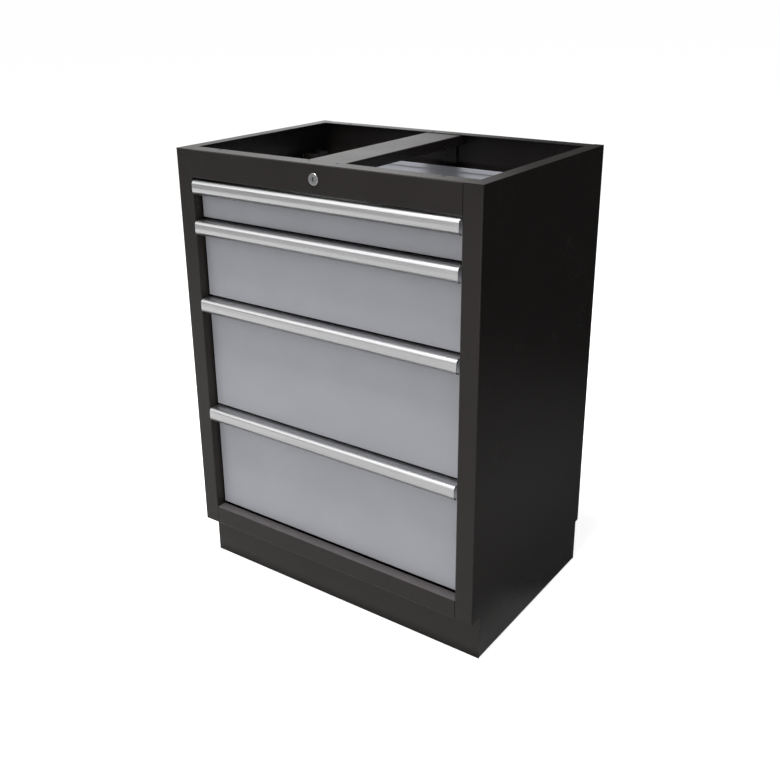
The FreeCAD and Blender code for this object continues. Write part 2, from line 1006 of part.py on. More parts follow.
# Lock rod with its crank. The crank is drawn level and the whole rod is turned to its place at rest.
rod_start = front + size.lock_barrel_depth + size.rod_radius
crank_face = bar_front - size.crank_gap
pin_length = size.crank_gap + size.bar_sheet + size.pin_proud
CRANK_AXIS = Vector(0, -1, 0)


def lock_rod():
    part = body("lock_rod")
    crank_start = crank_face - size.crank_sheet
    prism(part, "XZ", [], crank_start - rod_start, start=rod_start, circles=[(0, 0, size.rod_radius)])
    eye = size.crank_eye
    arm = rectangle(-eye, -eye, size.crank_throw + eye, eye, size.crank_round)
    prism(part, "XZ", [arm], size.crank_sheet, start=crank_start)
    prism(part, "XZ", [], pin_length, start=crank_face, circles=[(size.crank_throw, 0, size.pin_radius)])
    part.Placement.Rotation = FreeCAD.Rotation(CRANK_AXIS, size.crank_rest_angle.value)
    bind(part, "Placement.Rotation.Angle", size.crank_rest_angle)
    place(part, 0, 0, lock_height)
    keep(part)


lock_rod()


# Bracket under the brace that carries the rod's rear end

def rod_support():
    part = body("rod_support")
    face_y = back - size.rod_support_place
    low = lock_height - size.rod_radius * 2
    high = rim_under - sheet
    path = [(face_y, low), (face_y, high), (face_y - size.rod_support_width / 2, high)]
    corners = folded(path, size.rod_support_sheet, bend, 1, flat=True)
    prism(part, "YZ", [corners], size.rod_support_width, centred=True)
    drill(part, "XZ", face_y - size.rod_support_sheet, size.rod_support_sheet,
          [(0, lock_height, size.rod_radius + size.running_gap)])
    keep(part)


rod_support()


# Lock bar on the back panel, its hooks, the guides that hold it and the lugs on the drawers' boxes

crank_rest = math.radians(size.crank_rest_angle.value)
pin_across = size.crank_throw * math.cos(crank_rest)
pin_height = lock_height + size.crank_throw * math.sin(crank_rest)


def lug_height(number):
    """Underside of a drawer's lug, which the hook's lip rises towards."""
    return box_top(number) - size.lug_drop


def hook_height(number):
    """Underside of a hook at rest, when its lip is just clear of the lug."""
    return lug_height(number) - size.lug_lip - size.hook_clearance - size.hook_lip


def lock_bar():
    part = body("lock_bar")
    low = hook_height(DRAWERS[-1]) - size.bar_tail
    high = pin_height + size.bar_head
    plate = rectangle(-size.bar_width / 2, low, size.bar_width / 2, high, size.bend_radius)
    reach = size.pin_radius + size.slot_gap
    slot = rectangle(-size.crank_throw - reach, pin_height - reach, pin_across + reach, pin_height + reach)
    prism(part, "XZ", [plate, slot], size.bar_sheet, start=bar_front)
    keep(part)


def lock_hooks():
    made = []
    for number in DRAWERS:
        part = body("lock_hook_%d" % number)
        low = hook_height(number)
        tip = bar_front - size.hook_reach
        path = [(tip, low + size.hook_lip), (tip, low), (bar_front, low), (bar_front, low + size.lug_lip)]
        corners = folded(path, size.hook_sheet, bend, 1, flat=True)
        prism(part, "YZ", [corners], size.hook_width, centred=True)
        made.append(part)
    group("lock_hooks", made)


def lock_lug(number):
    part = body("lock_lug_%d" % number)
    under = lug_height(number)
    lip = bar_front - size.hook_reach + size.hook_sheet + size.hook_clearance
    path = [(box_back, under + size.lug_tab), (box_back, under), (lip, under), (lip, under - size.lug_lip)]
    corners = folded(path, size.hook_sheet, bend, 1, flat=True)
    prism(part, "YZ", [corners], size.lug_width, centred=True)
    keep(part)


def bar_guide(name, low):
    """A strap round the bar, its feet on the back panel."""
    part = body(name)
    inner = size.bar_width / 2 + size.guide_gap
    outer = inner + sheet + size.guide_foot
    wrap = bar_front - size.guide_gap
    path = [(-outer, back_inner), (-inner, back_inner), (-inner, wrap), (inner, wrap),
            (inner, back_inner), (outer, back_inner)]
    prism(part, "XY", [folded(path, sheet, bend, -1, flat=True)], size.guide_height, start=low)
    return part


lock_bar()
lock_hooks()
for number in DRAWERS:
    lock_lug(number)
upper_guide = box_top(1) + size.hook_clearance
lower_guide = hook_height(DRAWERS[-1]) - size.hook_clearance - size.guide_height
group("bar_guides", [bar_guide("bar_guide_upper", upper_guide), bar_guide("bar_guide_lower", lower_guide)])


# Build, check and write every sub-part
doc.recompute()
problems = []
for thing in doc.Objects:
    if "Invalid" in thing.State or "Error" in thing.State:
        problems.append("%s is %s" % (thing.Label, thing.State))
for node in nodes:
    if node.Shape.isNull() or not node.Shape.isValid():
        problems.append("%s has no valid shape" % node.Label)
if problems:
    raise RuntimeError("; ".join(problems))

os.makedirs("parts", exist_ok=True)
for node in nodes:
    node.Shape.exportStep("parts/%s.step" % node.Label)
print("%d nodes written" % len(nodes))
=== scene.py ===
# %% [markdown]
# # Dressing a drawer base cabinet
#
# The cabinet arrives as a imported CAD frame: folded steel carcass, four drawers with aluminium grips,
# ball-bearing slides and a central lock. Its shapes stay as they are, and this lesson is about what a
# photographer's eye would still miss: softened sheet edges, powder coat, brushed aluminium, the balls in
# the slides, and a light that shows them.
#
# The looks were tuned against one photograph, from its own camera. Where a cell says that something is chosen
# or made up, its numbers were changed until the tones of the picture agreed. They don't describe the real
# paint or the real room.

# %% Load the frame
import json
import math

import bmesh
import bpy
from mathutils import Matrix, Vector


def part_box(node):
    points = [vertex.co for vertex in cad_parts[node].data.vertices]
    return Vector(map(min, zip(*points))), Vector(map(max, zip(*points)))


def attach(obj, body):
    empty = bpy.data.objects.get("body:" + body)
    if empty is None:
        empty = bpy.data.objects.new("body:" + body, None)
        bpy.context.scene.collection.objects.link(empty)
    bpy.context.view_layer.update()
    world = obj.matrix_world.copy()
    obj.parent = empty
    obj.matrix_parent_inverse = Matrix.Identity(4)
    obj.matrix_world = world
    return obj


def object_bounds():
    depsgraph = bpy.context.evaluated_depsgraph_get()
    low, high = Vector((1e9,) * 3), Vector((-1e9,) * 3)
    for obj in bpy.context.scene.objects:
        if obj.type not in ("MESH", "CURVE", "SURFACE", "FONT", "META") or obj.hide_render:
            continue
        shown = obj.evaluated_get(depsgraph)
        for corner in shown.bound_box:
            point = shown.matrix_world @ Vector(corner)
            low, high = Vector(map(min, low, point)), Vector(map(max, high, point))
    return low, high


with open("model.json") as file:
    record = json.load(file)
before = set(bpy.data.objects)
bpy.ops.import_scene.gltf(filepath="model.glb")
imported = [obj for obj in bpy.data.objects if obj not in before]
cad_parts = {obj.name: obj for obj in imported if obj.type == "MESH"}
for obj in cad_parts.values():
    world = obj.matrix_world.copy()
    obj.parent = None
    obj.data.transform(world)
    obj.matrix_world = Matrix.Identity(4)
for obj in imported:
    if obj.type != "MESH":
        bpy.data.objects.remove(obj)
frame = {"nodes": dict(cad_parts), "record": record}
nodes = frame["nodes"]
cad_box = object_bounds()
for plain in list(bpy.data.materials):
    bpy.data.materials.remove(plain)  # the frame's plain colours make room for the finishes below
MM = 0.001
DRAWERS = (1, 2, 3, 4)


def put_in_scene(name, data):
    """A new object with this data, linked to the scene."""
    made = bpy.data.objects.new(name, data)
    bpy.context.scene.collection.objects.link(made)
    return made


print("CAD box:", [[round(v, 4) for v in corner] for corner in cad_box])

# %% [markdown]
# ## The camera
#
# The straight edges of a cabinet are a good camera target: the way they converge gives the lens and the
# viewing direction. This camera was fitted to eleven lines and two corners of the photograph, with the
# cabinet's width, depth, height and plinth height held. It stands on the right of the front, above the top
# edge, and rolls by less than a degree. A sensor shift moves the middle of the picture, as cropping does.

# %% Camera
AZIMUTH = math.radians(35.889)
ELEVATION = math.radians(20.631)
ROLL = math.radians(-0.6754)
EYE = Vector((1.07386, -1.52310, 1.20362))

towards_eye = Vector((
    math.sin(AZIMUTH) * math.cos(ELEVATION),
    -math.cos(AZIMUTH) * math.cos(ELEVATION),
    math.sin(ELEVATION),
))
level_right = Vector((math.cos(AZIMUTH), math.sin(AZIMUTH), 0))
level_up = towards_eye.cross(level_right)
right = level_right * math.cos(ROLL) + level_up * math.sin(ROLL)
up = level_up * math.cos(ROLL) - level_right * math.sin(ROLL)

camera_data = bpy.data.cameras.new("photo_camera")
camera_data.lens = 44.553
camera_data.shift_x = 0.01497
camera_data.shift_y = -0.05660
camera = put_in_scene("photo_camera", camera_data)
turn = Matrix((right, up, towards_eye)).transposed().to_4x4()
camera.matrix_world = Matrix.Translation(EYE) @ turn
bpy.context.scene.camera = camera
print("camera at", [round(v, 3) for v in EYE])

# %% [markdown]
# ## Small helpers for materials
#
# Every finish below is a node tree that reads Object coordinates, so that its grain has a real size in
# metres and stays put on a piece. These helpers add a node, set its sockets by name and link it up, which
# keeps the recipes short.

# %% Node helpers
def new_material(name):
    material = bpy.data.materials.new(name)
    material.use_nodes = True
    tree = material.node_tree
    return material, tree, tree.nodes["Principled BSDF"]


def plug(tree, socket, value):
    """Links an input to another node's output, or sets it to a plain value."""
    if isinstance(value, bpy.types.NodeSocket):
        tree.links.new(value, socket)
    else:
        socket.default_value = value


def feed(tree, node, **sockets):
    """Plugs a node's inputs by name, with an underscore where the name has a space."""
    for key, value in sockets.items():
        plug(tree, node.inputs[key.replace("_", " ")], value)


def add(tree, kind, settings=None, **sockets):
    """Adds a node, sets its properties from settings and its inputs from the keywords."""
    node = tree.nodes.new(kind)
    for key, value in (settings or {}).items():
        setattr(node, key, value)
    feed(tree, node, **sockets)
    return node


def place(tree, scale=(1, 1, 1)):
    """Object coordinates, stretched for a grain with a direction."""
    where = add(tree, "ShaderNodeTexCoord")
    return add(tree, "ShaderNodeMapping", Vector=where.outputs["Object"], Scale=scale).outputs[0]


def noise(tree, vector, scale, detail=3.0, roughness=0.5):
    made = add(tree, "ShaderNodeTexNoise", Vector=vector, Scale=scale, Detail=detail, Roughness=roughness)
    return made.outputs["Fac"]


def spread(tree, value, low, high, start=0.0, end=1.0):
    """Maps a texture's value between start and end on to low..high."""
    node = add(tree, "ShaderNodeMapRange", Value=value, From_Min=start, From_Max=end, To_Min=low, To_Max=high)
    return node.outputs[0]


def tint(tree, value, dark, light):
    """A colour ramp between two colours."""
    ramp = add(tree, "ShaderNodeValToRGB", Fac=value)
    ramp.color_ramp.elements[0].color = (*dark, 1)
    ramp.color_ramp.elements[1].color = (*light, 1)
    return ramp.outputs["Color"]


def math_node(tree, operation, first, second):
    node = add(tree, "ShaderNodeMath", {"operation": operation})
    for socket, value in zip(node.inputs, (first, second)):
        plug(tree, socket, value)
    return node.outputs[0]


def relief(tree, height, strength, distance):
    return add(tree, "ShaderNodeBump", Height=height, Strength=strength, Distance=distance).outputs[0]


# %% [markdown]
# ## Powder coat
#
# Both paints look like powder coats. Melted powder levels out to a fine orange peel, a relief of a few
# microns with a grain of about a millimetre. Two noises make it: a fine one for the peel and a broad, weak
# one for the slight unevenness of the gloss.
#
# Two places get a paler colour, and both are painted light. The ledge at the foot gets a painted sheen on
# its upward faces, broken in streaks along it. The folds inside the drawer opening get a paler, greyer
# colour that stands in for light that doesn't reach them there: painted light. A box in Object coordinates,
# set in from the CAD box, says where the folds are.

# %% Painted sheen on the ledge and painted light in the folds
NOISE_RANGE = (0.3, 0.7)  # most values of a noise lie in here
SHEEN_STREAK_STRETCH = (0.05, 1, 1)
SHEEN_STREAK_GRAIN = 500.0
SHEEN_UPWARD = (0.6, 0.95)  # how far a face must look up to get the painted sheen: from hardly to fully
SHEEN_LEAST = 0.6
PAINTED_LIGHT_RAMP = 0.4 * MM
box_low, box_high = cad_box
# where the folds get painted light: a paler colour inside the drawer opening
PAINTED_LIGHT_BOX = {  # at least 1.5 mm behind the carcass's outer faces and 30 mm deep; the grips stand 5 mm proud
    "X": (box_low[0] + 1.6 * MM, box_high[0] - 1.6 * MM),
    "Y": (box_low[1] + 6.5 * MM, box_low[1] + 36.5 * MM),
    "Z": (box_low[2] + 115 * MM, box_high[2] - 2 * MM)}


def between(tree, value, low, high):
    """One where the value lies between low and high, with a narrow ramp at either end."""
    after = spread(tree, value, 0, 1, low - PAINTED_LIGHT_RAMP, low)
    before = spread(tree, value, 1, 0, high, high + PAINTED_LIGHT_RAMP)
    return math_node(tree, "MULTIPLY", after, before)


def painted_light_share(tree):
    """One on the folds inside the drawer opening, where the painted light goes, zero on all that faces out.
    """
    where = add(tree, "ShaderNodeSeparateXYZ", Vector=place(tree))
    shares = [between(tree, where.outputs[axis], low, high) for axis, (low, high) in PAINTED_LIGHT_BOX.items()]
    return math_node(tree, "MULTIPLY", math_node(tree, "MULTIPLY", shares[0], shares[1]), shares[2])


def painted_sheen_share(tree):
    """How much painted sheen a face gets: the more it looks up, the more, in fine streaks along X."""
    facing = add(tree, "ShaderNodeSeparateXYZ", Vector=add(tree, "ShaderNodeNewGeometry").outputs["Normal"])
    streaks = noise(tree, place(tree, scale=SHEEN_STREAK_STRETCH), SHEEN_STREAK_GRAIN)
    upward = spread(tree, facing.outputs["Z"], 0, 1, *SHEEN_UPWARD)
    return math_node(tree, "MULTIPLY", upward, spread(tree, streaks, SHEEN_LEAST, 1, *NOISE_RANGE))


def blend(tree, share, paint, other):
    """The paint with some share of another plain colour over it."""
    mix = add(tree, "ShaderNodeMix", {"data_type": "RGBA"})
    # the node repeats its socket names for every type of data, so the ones for colours go by number
    factor, under, over, result = mix.inputs[0], mix.inputs[6], mix.inputs[7], mix.outputs[2]
    plug(tree, factor, share)
    plug(tree, under, paint)
    plug(tree, over, (*other, 1))
    return result


print("the thin coat lies within:", {axis: [round(v, 4) for v in span] for axis, span in PAINTED_LIGHT_BOX.items()})

# %% Powder coat, black and grey
PEEL = {"grain": 1400.0, "strength": 0.12, "height": 0.06 * MM}
CLOUD_GRAIN = 9.0


def powder_coat(name, dark, light, rough_low, rough_high, level,
                sheen_tint=(1, 1, 1), painted_sheen=None, painted_light=None):
    """A powder coat, with the paler colours of its painted sheen and its painted light where it has them."""
    material, tree, shader = new_material(name)
    where = place(tree)
    peel = noise(tree, where, PEEL["grain"], 2.0)
    cloud = noise(tree, where, CLOUD_GRAIN)
    paint = tint(tree, spread(tree, cloud, 0, 1, *NOISE_RANGE), dark, light)
    # paler colours over the paint: a painted sheen on the ledge and painted light in the folds
    if painted_sheen:
        paint = blend(tree, painted_sheen_share(tree), paint, painted_sheen)
    if painted_light:
        paint = blend(tree, painted_light_share(tree), paint, painted_light)
    feed(tree, shader,
         Base_Color=paint,
         Roughness=spread(tree, cloud, rough_low, rough_high, *NOISE_RANGE),
         Normal=relief(tree, peel, PEEL["strength"], PEEL["height"]),
         Specular_IOR_Level=level,
         Specular_Tint=(*sheen_tint, 1))
    return material


BLACK_COAT = {
    "dark": (0.0135, 0.0120, 0.0114), "light": (0.0155, 0.0139, 0.0132),
    "rough_low": 0.22, "rough_high": 0.28, "level": 0.25, "sheen_tint": (1.0, 0.93, 0.90)}
GREY_COAT = {
    "dark": (0.275, 0.278, 0.300), "light": (0.292, 0.296, 0.320),
    "rough_low": 0.42, "rough_high": 0.48, "level": 0.35}
# the folds inside the drawer opening get a paler, greyer colour, painted light
carcass_black = powder_coat("carcass_black", **BLACK_COAT, painted_light=(0.026, 0.023, 0.021))
# the ledge's upward faces get a paler colour in streaks, a painted sheen
sill_black = powder_coat("sill_black", **BLACK_COAT, painted_sheen=(0.097, 0.090, 0.094))
drawer_grey = powder_coat("drawer_grey", **GREY_COAT)
print("powder coats:", [coat.name for coat in (carcass_black, sill_black, drawer_grey)])

# %% [markdown]
# ## Brushed aluminium
#
# The grips look like aluminium extrusions, brushed along their length and anodised. A noise that is stretched
# eighty times along X gives the streaks: it drives the colour, the roughness and a faint relief together,
# because a deeper scratch is also duller and darker.
#
# The grips' highlight in the photograph is wider than a flat lip gives. A second relief bends the normals as
# a slight swelling of the lip would, from a given height downwards, so that it mirrors the bright floor close
# by. The shape stays flat, and the swelling's radius is chosen to match the highlight.

# %% Brushed aluminium
CROWN_RADIUS = 18 * MM
CROWN_DROP = 13 * MM  # from the grip's upper edge down to where the swelling starts
STREAK = {"detail": 4.0, "roughness": 0.6, "strength": 0.12, "height": 0.03 * MM}


def brushed(name, dark, light, rough_low, rough_high, scale, stretch, crown_from=None):
    """Brushed metal. Below a height to crown from, its normals lean as if the front face swelled out."""
    material, tree, shader = new_material(name)
    streaks = noise(tree, place(tree, scale=stretch), scale, STREAK["detail"], STREAK["roughness"])
    band = spread(tree, streaks, 0, 1, *NOISE_RANGE)
    surface = relief(tree, streaks, STREAK["strength"], STREAK["height"])
    if crown_from is not None:
        height = add(tree, "ShaderNodeSeparateXYZ", Vector=place(tree)).outputs["Z"]
        below = math_node(tree, "MAXIMUM", math_node(tree, "SUBTRACT", crown_from, height), 0)
        crown = math_node(tree, "MULTIPLY", math_node(tree, "MULTIPLY", below, below), -0.5 / CROWN_RADIUS)
        surface = add(tree, "ShaderNodeBump", Height=crown, Strength=1, Distance=1, Normal=surface).outputs[0]
    feed(tree, shader,
         Metallic=1.0,
         Base_Color=tint(tree, band, dark, light),
         Roughness=spread(tree, streaks, rough_low, rough_high, *NOISE_RANGE),
         Normal=surface)
    return material


STREAK_STRETCH = 80
ALUMINIUM = {
    "dark": (0.49, 0.49, 0.495), "light": (0.57, 0.57, 0.575), "rough_low": 0.26, "rough_high": 0.34,
    "scale": 1200.0, "stretch": (1 / STREAK_STRETCH, 1, 1)}
ROLLED_ZINC = {
    "dark": (0.50, 0.52, 0.54), "light": (0.66, 0.68, 0.70), "rough_low": 0.26, "rough_high": 0.40,
    "scale": 700.0, "stretch": (1, 1 / STREAK_STRETCH, 1)}
grips = {}
for number in DRAWERS:
    crown_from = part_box("drawer_handle_%d" % number)[1].z - CROWN_DROP
    grips[number] = brushed("grip_aluminium_%d" % number, **ALUMINIUM, crown_from=crown_from)
slide_zinc = brushed("slide_zinc", **ROLLED_ZINC)
print("metals with a grain:", [grip.name for grip in grips.values()], slide_zinc.name)

# %% [markdown]
# ## Plated metals without a grain
#
# The photograph shows the lock's face, a bright housing round a duller core. The rest gets the usual finishes
# of such parts: plain zinc plate on the lock's rod and bar, a yellowish one on the ball cages, and polished
# steel balls. A soft noise breaks up the gloss as handling does, and the zinc shows a faint spangle.

# %% Plated metals
SPANGLE = {"detail": 5.0, "roughness": 0.65, "strength": 0.08, "height": 0.02 * MM}
SPANGLE_RANGE = (0.35, 0.65)


def plated(name, dark, light, rough, grain):
    material, tree, shader = new_material(name)
    spangle = noise(tree, place(tree), grain, SPANGLE["detail"], SPANGLE["roughness"])
    feed(tree, shader,
         Metallic=1.0,
         Base_Color=tint(tree, spread(tree, spangle, 0, 1, *SPANGLE_RANGE), dark, light),
         Roughness=spread(tree, spangle, *rough, *SPANGLE_RANGE),
         Normal=relief(tree, spangle, SPANGLE["strength"], SPANGLE["height"]))
    return material


lock_chrome = plated("lock_chrome", (0.40, 0.40, 0.41), (0.48, 0.48, 0.49), rough=(0.14, 0.24), grain=400.0)
lock_core = plated("lock_core", (0.28, 0.28, 0.29), (0.36, 0.36, 0.37), rough=(0.22, 0.34), grain=500.0)
lock_steel = plated("lock_steel", (0.42, 0.43, 0.44), (0.58, 0.59, 0.60), rough=(0.28, 0.42), grain=160.0)
cage_zinc = plated("cage_zinc", (0.50, 0.47, 0.36), (0.62, 0.60, 0.50), rough=(0.25, 0.38), grain=220.0)
ball_steel = plated("ball_steel", (0.66, 0.66, 0.67), (0.72, 0.72, 0.73), rough=(0.06, 0.10), grain=500.0)
print("plated:", [metal.name for metal in (lock_chrome, lock_core, lock_steel, cage_zinc, ball_steel)])

# %% [markdown]
# ## Finishes go on by slot
#
# The record says which finish each CAD node has, so one loop dresses all of them. The ledge, the lock's core
# and the grips get a finish of their own.

# %% Dress the CAD nodes
FINISHES = {material.name: material for material in (
    carcass_black, drawer_grey, slide_zinc, cage_zinc, lock_chrome, lock_steel)}
SPECIAL = {"bottom_rail": sill_black, "lock_plug": lock_core}
SPECIAL.update({"drawer_handle_%d" % number: grips[number] for number in DRAWERS})
for entry in frame["record"]["subparts"]:
    data = nodes[entry["node"]].data
    data.materials.clear()
    data.materials.append(SPECIAL.get(entry["node"]) or FINISHES[entry["material_slot"]])

# %% [markdown]
# ## Softened edges
#
# A sheared or folded edge is never perfectly sharp, and the thin line of light along it is what makes sheet
# steel look real. The CAD meshes are loose triangles, so each node gets a Weld modifier first, then a
# narrow Bevel on its sharp edges, and Weighted Normals so that the flats stay flat. The widths follow the
# sheet: a third of its thickness at most.

# %% Edge modifiers
MERGE_WITHIN = 0.01 * MM
SHARP_ANGLE = math.radians(38)


def soften(node, width):
    piece = nodes[node]
    weld = piece.modifiers.new("weld", "WELD")
    weld.merge_threshold = MERGE_WITHIN
    bevel = piece.modifiers.new("edge", "BEVEL")
    bevel.width = width
    bevel.segments = 2
    bevel.limit_method = "ANGLE"
    bevel.angle_limit = SHARP_ANGLE
    piece.modifiers.new("normals", "WEIGHTED_NORMAL")
    piece.data.shade_smooth()


EDGE_WIDTHS = {
    "carcass_black": 0.15 * MM,
    "drawer_grey": 0.25 * MM,
    "grip_aluminium": 0.30 * MM,
    "slide_zinc": 0.20 * MM,
    "cage_zinc": 0.15 * MM,
    "lock_chrome": 0.25 * MM,
    "lock_steel": 0.30 * MM,
}
for entry in frame["record"]["subparts"]:
    soften(entry["node"], EDGE_WIDTHS[entry["material_slot"]])
print("edge widths in mm:", {slot: round(width / MM, 2) for slot, width in EDGE_WIDTHS.items()})

# %% [markdown]
# ## Balls in the slides
#
# Between the members of each slide run rows of steel balls, held a pitch apart by a cage. The CAD frame has
# the cages as strips, and the balls repeat along them, which is what Geometry Nodes are for: a line of
# points, one ball instanced on each, made real and given its material. The same tree serves both ball
# sizes, because the radius, the count and the two ends are inputs.

# %% The tree that lays out a row of balls
def ball_row_tree():
    tree = bpy.data.node_groups.new("ball_row", "GeometryNodeTree")
    tree.interface.new_socket("Start", in_out="INPUT", socket_type="NodeSocketVector")
    tree.interface.new_socket("End", in_out="INPUT", socket_type="NodeSocketVector")
    tree.interface.new_socket("Count", in_out="INPUT", socket_type="NodeSocketInt")
    tree.interface.new_socket("Radius", in_out="INPUT", socket_type="NodeSocketFloat")
    tree.interface.new_socket("Geometry", in_out="OUTPUT", socket_type="NodeSocketGeometry")
    source = tree.nodes.new("NodeGroupInput")
    result = tree.nodes.new("NodeGroupOutput")
    line = tree.nodes.new("GeometryNodeMeshLine")
    line.mode = "END_POINTS"
    ball = tree.nodes.new("GeometryNodeMeshIcoSphere")
    ball.inputs["Subdivisions"].default_value = 2
    instance = tree.nodes.new("GeometryNodeInstanceOnPoints")
    real = tree.nodes.new("GeometryNodeRealizeInstances")
    smooth = tree.nodes.new("GeometryNodeSetShadeSmooth")
    finish = tree.nodes.new("GeometryNodeSetMaterial")
    finish.inputs["Material"].default_value = ball_steel
    link = tree.links.new
    link(source.outputs["Start"], line.inputs["Start Location"])
    link(source.outputs["End"], line.inputs["Offset"])
    link(source.outputs["Count"], line.inputs["Count"])
    link(source.outputs["Radius"], ball.inputs["Radius"])
    link(line.outputs["Mesh"], instance.inputs["Points"])
    link(ball.outputs["Mesh"], instance.inputs["Instance"])
    link(instance.outputs["Instances"], real.inputs["Geometry"])
    link(real.outputs["Geometry"], smooth.inputs["Geometry"])
    link(smooth.outputs["Geometry"], finish.inputs["Geometry"])
    link(finish.outputs["Geometry"], result.inputs["Geometry"])
    return tree


def evaluated_mesh(tree, name, values):
    """Runs a tree once with these inputs and returns the plain mesh it makes."""
    carrier = put_in_scene(name, bpy.data.meshes.new(name))
    modifier = carrier.modifiers.new("row", "NODES")
    modifier.node_group = tree
    for item in tree.interface.items_tree:
        if item.name in values:
            modifier[item.identifier] = values[item.name]
    depsgraph = bpy.context.evaluated_depsgraph_get()
    mesh = bpy.data.meshes.new_from_object(carrier.evaluated_get(depsgraph), depsgraph=depsgraph)
    bpy.data.objects.remove(carrier)
    return mesh


ball_rows = ball_row_tree()
print("sockets of the tree:", [item.name for item in ball_rows.interface.items_tree])

# %% [markdown]
# Each cage node holds eight strips. A copy of its mesh is merged and split into islands, and the box of
# each island says where a row of balls goes. Outer rows run between the outer and the middle member and
# take larger balls than the inner rows.

# %% Where the strips are
def island_boxes(node):
    """The boxes of the separate solids in a CAD node."""
    work = bmesh.new()
    work.from_mesh(nodes[node].data)
    bmesh.ops.remove_doubles(work, verts=work.verts, dist=MERGE_WITHIN)
    left = set(work.verts)
    boxes = []
    while left:
        reached = [left.pop()]
        low, high = reached[0].co.copy(), reached[0].co.copy()
        while reached:
            vert = reached.pop()
            for axis in range(3):
                low[axis] = min(low[axis], vert.co[axis])
                high[axis] = max(high[axis], vert.co[axis])
            for edge in vert.link_edges:
                other = edge.other_vert(vert)
                if other in left:
                    left.remove(other)
                    reached.append(other)
        boxes.append((low, high))
    work.free()
    return boxes


def slide_middle(number):
    low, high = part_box("outer_slides_%d" % number)
    return (low.z + high.z) / 2


strips = {number: island_boxes("ball_cages_%d" % number) for number in DRAWERS}
print("strips per cage node:", [len(found) for found in strips.values()])

# %% Rows of balls, one piece for each pair of slides
OUTER_BALL = 3.9 * MM
INNER_BALL = 3.0 * MM
BALL_PITCH = 9.0 * MM
END_MARGIN = 6.0 * MM
OUTER_ROW_FROM = 16.0 * MM


def ball_rows_of(number):
    middle = slide_middle(number)
    rows = []
    for low, high in strips[number]:
        centre = (low + high) / 2
        size = OUTER_BALL if abs(centre.z - middle) > OUTER_ROW_FROM else INNER_BALL
        start = Vector((centre.x, low.y + END_MARGIN, centre.z))
        end = Vector((centre.x, high.y - END_MARGIN, centre.z))
        count = round((end.y - start.y) / BALL_PITCH) + 1
        rows.append(evaluated_mesh(ball_rows, "row", {
            "Start": start, "End": end, "Count": count, "Radius": size / 2}))
    return rows


def joined(meshes, name):
    """One object from several plain meshes that share a material."""
    work = bmesh.new()
    for mesh in meshes:
        work.from_mesh(mesh)
    data = bpy.data.meshes.new(name)
    work.to_mesh(data)
    work.free()
    data.materials.append(meshes[0].materials[0])
    for mesh in meshes:
        bpy.data.meshes.remove(mesh)
    return put_in_scene(name, data)


for number in DRAWERS:
    balls = joined(ball_rows_of(number), "slide_balls_%d" % number)
    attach(balls, "middle_members_%d" % number)
    print(balls.name, "faces:", len(balls.data.polygons))

# %% [markdown]
# ## Weld strips behind the seams
#
# Each rail butts against the stiles with a hair's gap, and light from behind would draw a bright line in
# it. The photograph shows these seams dark, as a weld or an overlap behind them would make them. Four slim
# strips do that here. They are the only metal that the looks add to the carcass.

# %% Weld strips
STRIP_WIDTH = 4.0 * MM
STRIP_SHEET = 1.0 * MM
BEHIND_SHEET = 1.3 * MM
CLEAR_OF_FOLDS = 2.0 * MM


def add_block(work, low, high):
    """Adds a plain box between two corners to a mesh under construction."""
    size = Vector(high) - Vector(low)
    middle = (Vector(high) + Vector(low)) / 2
    bmesh.ops.create_cube(work, size=1, matrix=Matrix.Translation(middle) @ Matrix.Diagonal((*size, 1)))


work = bmesh.new()
for rail in ("top_rail", "bottom_rail"):
    low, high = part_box(rail)
    for start, end in ((high.x - STRIP_WIDTH, high.x), (low.x, low.x + STRIP_WIDTH)):
        add_block(work, (start, low.y + BEHIND_SHEET, low.z + CLEAR_OF_FOLDS),
                  (end, low.y + BEHIND_SHEET + STRIP_SHEET, high.z - CLEAR_OF_FOLDS))
strip_mesh = bpy.data.meshes.new("weld_strips")
work.to_mesh(strip_mesh)
work.free()
strip_mesh.materials.append(carcass_black)
weld_strips = put_in_scene("weld_strips", strip_mesh)
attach(weld_strips, "cabinet")
print("weld strips:", len(strip_mesh.polygons) // 6)

# %% [markdown]
# ## Floor and light
#
# The photograph is a catalogue cut-out on pure white. A wide pale floor fills the frame. It is lit like
# the rest, and camera, glossy and transmission rays get some emission on top, so that it reads as white
# while the shadow under the plinth stays. The world does the same for the part of the view above it.
#
# Black gloss paint shows hardly any colour of its own: its tones are what it mirrors. So reflections see a
# studio that is darker than the white of the cut-out. It is made up, with its zones chosen to give the tones
# in the photograph. On the floor there is a dark part to the right of the cabinet, which the side panel
# mirrors, and a dimming ahead and to the right, which the front mirrors.

# %% White where it is looked at
FLOOR_MIRRORED = 0.20  # share of the white that reflections see


def seen_directly(tree, mirrored_share):
    """One for camera rays, less for glossy and transmission rays, zero for light that falls on things."""
    path = add(tree, "ShaderNodeLightPath")
    mirrored = math_node(tree, "MAXIMUM", path.outputs["Is Glossy Ray"], path.outputs["Is Transmission Ray"])
    dimmed = math_node(tree, "MULTIPLY", mirrored, mirrored_share)
    return math_node(tree, "MAXIMUM", path.outputs["Is Camera Ray"], dimmed)


print("share of the white in reflections:", FLOOR_MIRRORED)

# %% Where reflections see the floor darkened
DARK_FROM = (0.30, 0.42)  # the dark part starts here on X beside the cabinet
DARK_LEAN = 0.62  # and comes this much further left for each metre behind it
DARK_BEHIND = (-0.45, -0.15)
DIM_AHEAD = {"from": (-0.7, -2.2), "share": (0.44, 0.60)}
DIM_TO_LEFT = {"from": (-0.35, -1.30), "share": (1, 0.30)}
FOOT = (-0.205, -0.235)  # the floor right under the plinth's front isn't dimmed


